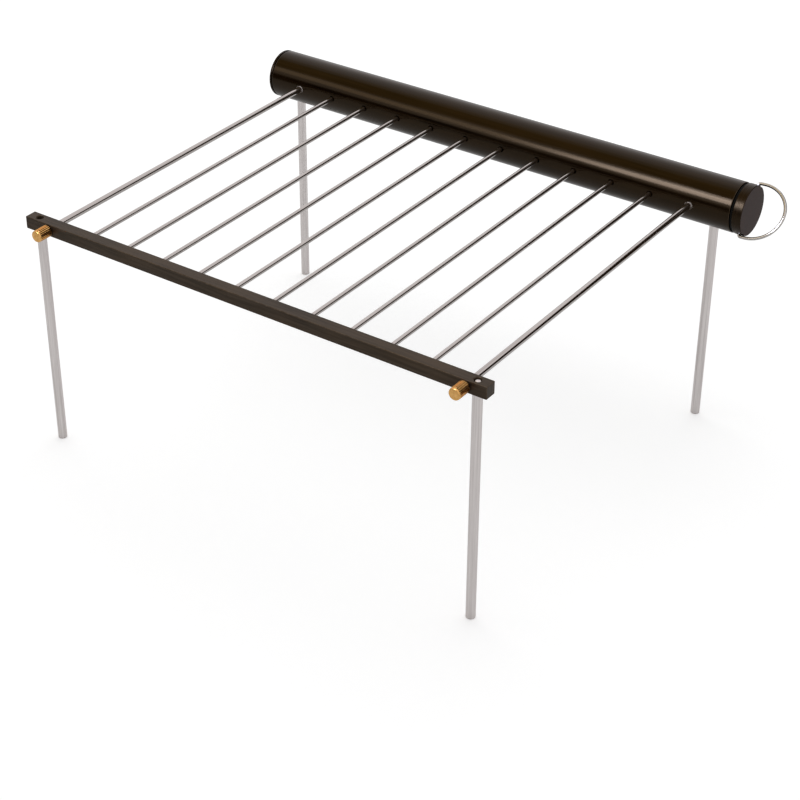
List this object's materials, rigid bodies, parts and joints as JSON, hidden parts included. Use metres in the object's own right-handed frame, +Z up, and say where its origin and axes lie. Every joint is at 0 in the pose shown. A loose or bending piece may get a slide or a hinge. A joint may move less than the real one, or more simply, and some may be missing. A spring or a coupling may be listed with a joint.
{
  "type": "portable grill",
  "caption": "Take-apart camp grill: a carrying tube as rear frame, round rods to a square front bar, screwed-in legs and a screw cap with a wire bail.",
  "frame": {"origin": "on the ground, under the middle of the standing grill's outline", "axes": "+X along the tube towards the screw cap, +Y from the front bar to the tube, +Z up"},
  "size_m": [0.3816, 0.2903, 0.171],
  "materials": {
    "dark_anodised": "dark bronze anodised, satin",
    "black_rubber": "matte",
    "bright_wire": "bright drawn",
    "polished_stainless": "polished",
    "satin_stainless": "satin",
    "brass": "turned, straight knurl"
  },
  "bodies": {
    "grill": {"tube": "dark_anodised", "end_plug": "dark_anodised", "front_bar": "dark_anodised", "clamp_rod_left": "polished_stainless", "clamp_rod_right": "polished_stainless", "grill_rod_02": "polished_stainless", "grill_rod_03": "polished_stainless", "grill_rod_04": "polished_stainless", "grill_rod_05": "polished_stainless", "grill_rod_06": "polished_stainless", "grill_rod_07": "polished_stainless", "grill_rod_08": "polished_stainless", "grill_rod_09": "polished_stainless", "grill_rod_10": "polished_stainless", "grill_rod_11": "polished_stainless"},
    "seal": {"cap_seal": "black_rubber"},
    "cap": {"screw_cap": "dark_anodised"},
    "bail": {"cap_bail": "bright_wire"},
    "nut_left": {"thumb_nut_left": "brass"},
    "nut_right": {"thumb_nut_right": "brass"},
    "front_leg_left": {"leg_front_left": "satin_stainless"},
    "front_leg_right": {"leg_front_right": "satin_stainless"},
    "rear_leg_left": {"leg_rear_left": "satin_stainless"},
    "rear_leg_right": {"leg_rear_right": "satin_stainless"}
  },
  "joints": [
    {"name": "cap_travel", "type": "slide", "parent": "grill", "child": "seal", "axis": [1, 0, 0], "range_m": [0, 0.006]},
    {"name": "cap_turn", "type": "hinge", "parent": "seal", "child": "cap", "pos_m": [0.16129, 0.12915, 0.155], "axis": [1, 0, 0], "range_deg": [0, 1440]},
    {"name": "bail_swing", "type": "hinge", "parent": "cap", "child": "bail", "pos_m": [0.16479, 0.12915, 0.155], "axis": [0, 0.6428, 0.766], "range_deg": [-120, 150]},
    {"name": "nut_left_turn", "type": "hinge", "parent": "grill", "child": "nut_left", "pos_m": [-0.16451, -0.14015, 0.155], "axis": [0, -1, 0], "range_deg": [0, 5040]},
    {"name": "nut_right_turn", "type": "hinge", "parent": "grill", "child": "nut_right", "pos_m": [0.13249, -0.14015, 0.155], "axis": [0, -1, 0], "range_deg": [0, 5040]},
    {"name": "front_leg_left_turn", "type": "hinge", "parent": "grill", "child": "front_leg_left", "pos_m": [-0.17451, -0.13085, 0.155], "axis": [0, 0, -1], "range_deg": [0, 2520]},
    {"name": "front_leg_right_turn", "type": "hinge", "parent": "grill", "child": "front_leg_right", "pos_m": [0.13799, -0.13085, 0.155], "axis": [0, 0, -1], "range_deg": [0, 3600]},
    {"name": "rear_leg_left_turn", "type": "hinge", "parent": "grill", "child": "rear_leg_left", "pos_m": [-0.17551, 0.12915, 0.139], "axis": [0, 0, -1], "range_deg": [0, 1260]},
    {"name": "rear_leg_right_turn", "type": "hinge", "parent": "grill", "child": "rear_leg_right", "pos_m": [0.14349, 0.12915, 0.139], "axis": [0, 0, -1], "range_deg": [0, 1260]}
  ],
  "couplings": [
    {"joint": "cap_travel", "follows": "cap_turn", "m_per_rad": 0.00023873}
  ]
}
